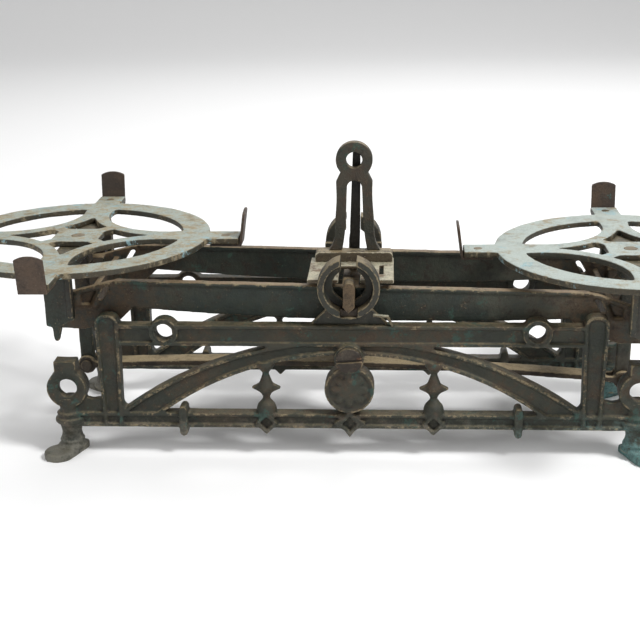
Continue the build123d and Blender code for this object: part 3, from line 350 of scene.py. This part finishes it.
def cast(node, voxel, soften=3, lump=0.12, grain=0.05):
    """Softened copy of a CAD node with a slightly uneven cast surface, which takes the node's place.

    voxel is the mesh size, and lump and grain the height of the unevenness, in millimetres.
    """
    source = nodes[node]
    piece = bpy.data.objects.new(node + ".skin", source.data.copy())
    bpy.context.scene.collection.objects.link(piece)
    remesh = piece.modifiers.new("remesh", "REMESH")
    remesh.mode = "VOXEL"
    remesh.voxel_size = voxel * MM
    remesh.use_smooth_shade = True
    shape = piece.evaluated_get(bpy.context.evaluated_depsgraph_get())
    mesh = bpy.data.meshes.new_from_object(shape)
    piece.modifiers.clear()
    mesh.name = piece.name
    piece.data = mesh
    count = len(mesh.vertices)
    points = np.empty(count * 3)
    mesh.vertices.foreach_get("co", points)
    points = points.reshape(-1, 3)
    edges = np.empty(len(mesh.edges) * 2, np.int64)
    mesh.edges.foreach_get("vertices", edges)
    edges = edges.reshape(-1, 2)
    degree = np.maximum(np.bincount(edges.ravel(), minlength=count), 1)[:, None]
    low, high = points.min(0), points.max(0)
    for _ in range(soften):
        points = points + SMOOTHING * (neighbour_mean(points, edges, degree) - points)
    set_points(mesh, points)
    normals = np.empty(count * 3)
    mesh.vertices.foreach_get("normal", normals)
    normals = normals.reshape(-1, 3)
    smooth = points
    for _ in range(round(EDGE_REACH / voxel)):
        smooth = smooth + FLATTENING * (neighbour_mean(smooth, edges, degree) - smooth)
    bend = ((points - smooth) * normals).sum(1) / (EDGE_HEIGHT * MM)
    # convex bends mark edges for wear; the concave bends mark hollows that the materials darken as painted
    # shade
    for name, values in (("edge", bend), ("hollow_shade", -bend)):
        layer = mesh.attributes.new(name, "FLOAT", "POINT")
        layer.data.foreach_set("value", np.clip(values, 0, 1).astype(np.float32))
    height = lump * hash_noise(points, LUMP_SIZE * MM, 3)
    height = height + grain * hash_noise(points, GRAIN_SIZE * MM, 5)
    points = points + normals * (height * MM)[:, None]
    points = np.clip(points, low, high)
    set_points(mesh, points)
    mesh.materials.clear()
    mesh.materials.append(materials[slot_of_node[node]])
    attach(piece, body_of_node[node])
    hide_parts(node)
    return piece


def set_points(mesh, points):
    """Writes vertex positions and refreshes the mesh."""
    mesh.vertices.foreach_set("co", points.astype(np.float32).ravel())
    mesh.update()


def build_pieces():
    """Every node as a softened casting, with a mesh size that suits its thickness."""
    sizes = {
        "frame": 0.9, "cup": 0.65, "bridge_plate": 0.65, "pedestal": 0.65, "index_fork": 0.55, "beam": 0.9,
        "check_lever": 0.9, "lever_bridge": 0.9, "carrier": 0.8, "stem": 0.8, "pan_ring": 0.9, "lug": 0.55,
        "needle": 0.55, "knife": 0.5, "bearing": 0.5, "bearing_clip": 0.5, "tie_screw": 0.5,
    }
    for node in sorted(nodes):
        size = 0.5
        for ending, value in sizes.items():
            if node.endswith(ending):
                size = value
        fine = size < FINE_VOXEL
        cast(node, size, soften=2, lump=0.05 if fine else 0.18, grain=0.02 if fine else 0.06)


# ---------------------------------------------------------------- floor and light

def make_floor():
    """Pale floor that curves up behind, far away."""
    mesh = bpy.data.meshes.new("floor")
    reach, depth, rise = 6.0, 4.0, 4.0
    profile = [(-6.0, 0.0), (depth - 1.5, 0.0)]
    for step in range(1, 13):
        angle = math.pi / 2 * step / 12
        profile.append((depth - 1.5 + 1.5 * math.sin(angle), 1.5 - 1.5 * math.cos(angle)))
    profile.append((depth, rise))
    low = min(cad_box[0].z, 0.0)
    vertices = [(x, y, z + low) for y, z in profile for x in (-reach, reach)]
    faces = [(2 * i, 2 * i + 1, 2 * i + 3, 2 * i + 2) for i in range(len(profile) - 1)]
    mesh.from_pydata(vertices, [], faces)
    mesh.polygons.foreach_set("use_smooth", [True] * len(faces))
    floor = bpy.data.objects.new("floor", mesh)
    bpy.context.scene.collection.objects.link(floor)
    g = Graph("floor")
    g.plug("Base Color", (0.93, 0.93, 0.93, 1))
    g.plug("Roughness", 0.9)
    mesh.materials.append(g.material)


def make_lights():
    """Soft studio light from above and from both sides, in a bright room."""
    world = bpy.data.worlds.new("room")
    bpy.context.scene.world = world
    world.use_nodes = True
    world.node_tree.nodes["Background"].inputs["Color"].default_value = (1.0, 1.0, 1.0, 1)
    world.node_tree.nodes["Background"].inputs["Strength"].default_value = ROOM_LIGHT
    for name, place, size, power in (
        ("key", (1.2, -0.7, 1.8), 0.5, 40),
        ("fill", (-1.7, -0.9, 0.9), 0.8, 8),
        ("back", (0.3, 1.6, 1.7), 1.4, 20),
    ):
        data = bpy.data.lights.new(name, "AREA")
        data.shape = "SQUARE"
        data.size = size
        data.energy = power
        lamp = bpy.data.objects.new(name, data)
        lamp.location = place
        aim = Vector((0, 0, 0.1)) - lamp.location
        lamp.rotation_euler = aim.to_track_quat("-Z", "Y").to_euler()
        bpy.context.scene.collection.objects.link(lamp)


bpy.context.scene.view_settings.view_transform = "Standard"
make_camera()
materials = {name: old_iron(name, **finish) for name, finish in FINISHES.items()}
build_pieces()
make_floor()
make_lights()
